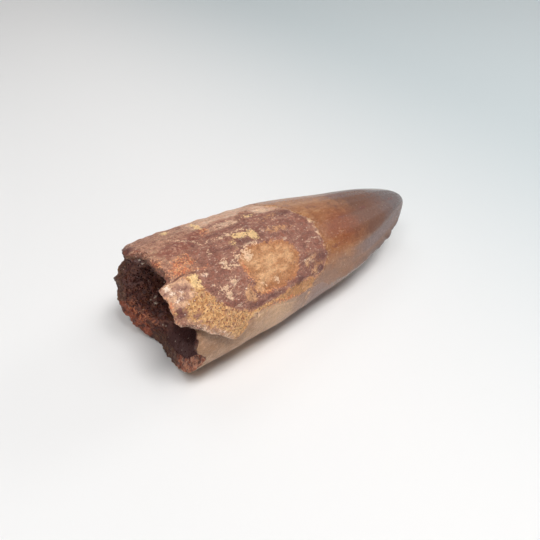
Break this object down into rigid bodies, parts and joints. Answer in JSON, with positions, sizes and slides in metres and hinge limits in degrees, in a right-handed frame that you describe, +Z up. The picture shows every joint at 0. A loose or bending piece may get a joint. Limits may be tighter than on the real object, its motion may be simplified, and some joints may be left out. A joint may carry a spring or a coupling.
{
  "type": "fossil dinosaur tooth",
  "caption": "Stout conical fossil tooth lying on its side, with a ragged broken root, an open hollow base lined with crystals, and a worn blunt tip.",
  "frame": {"origin": "on the surface the tooth lies on, under the middle of its bounding box", "axes": "+X along the tooth from its broken root towards its tip, +Z up, so -Y is the side with the oval flake scar"},
  "size_m": [0.108, 0.0438, 0.0372],
  "materials": {
    "fossil_tooth": "satin enamel over mottled purple-brown, ochre and tan fossil dentine",
    "crystal_crust": "dark glinting crystals and red-orange sand grains"
  },
  "bodies": {
    "root": {"tooth": "fossil_tooth", "cavity_crust": "crystal_crust"}
  },
  "joints": []
}
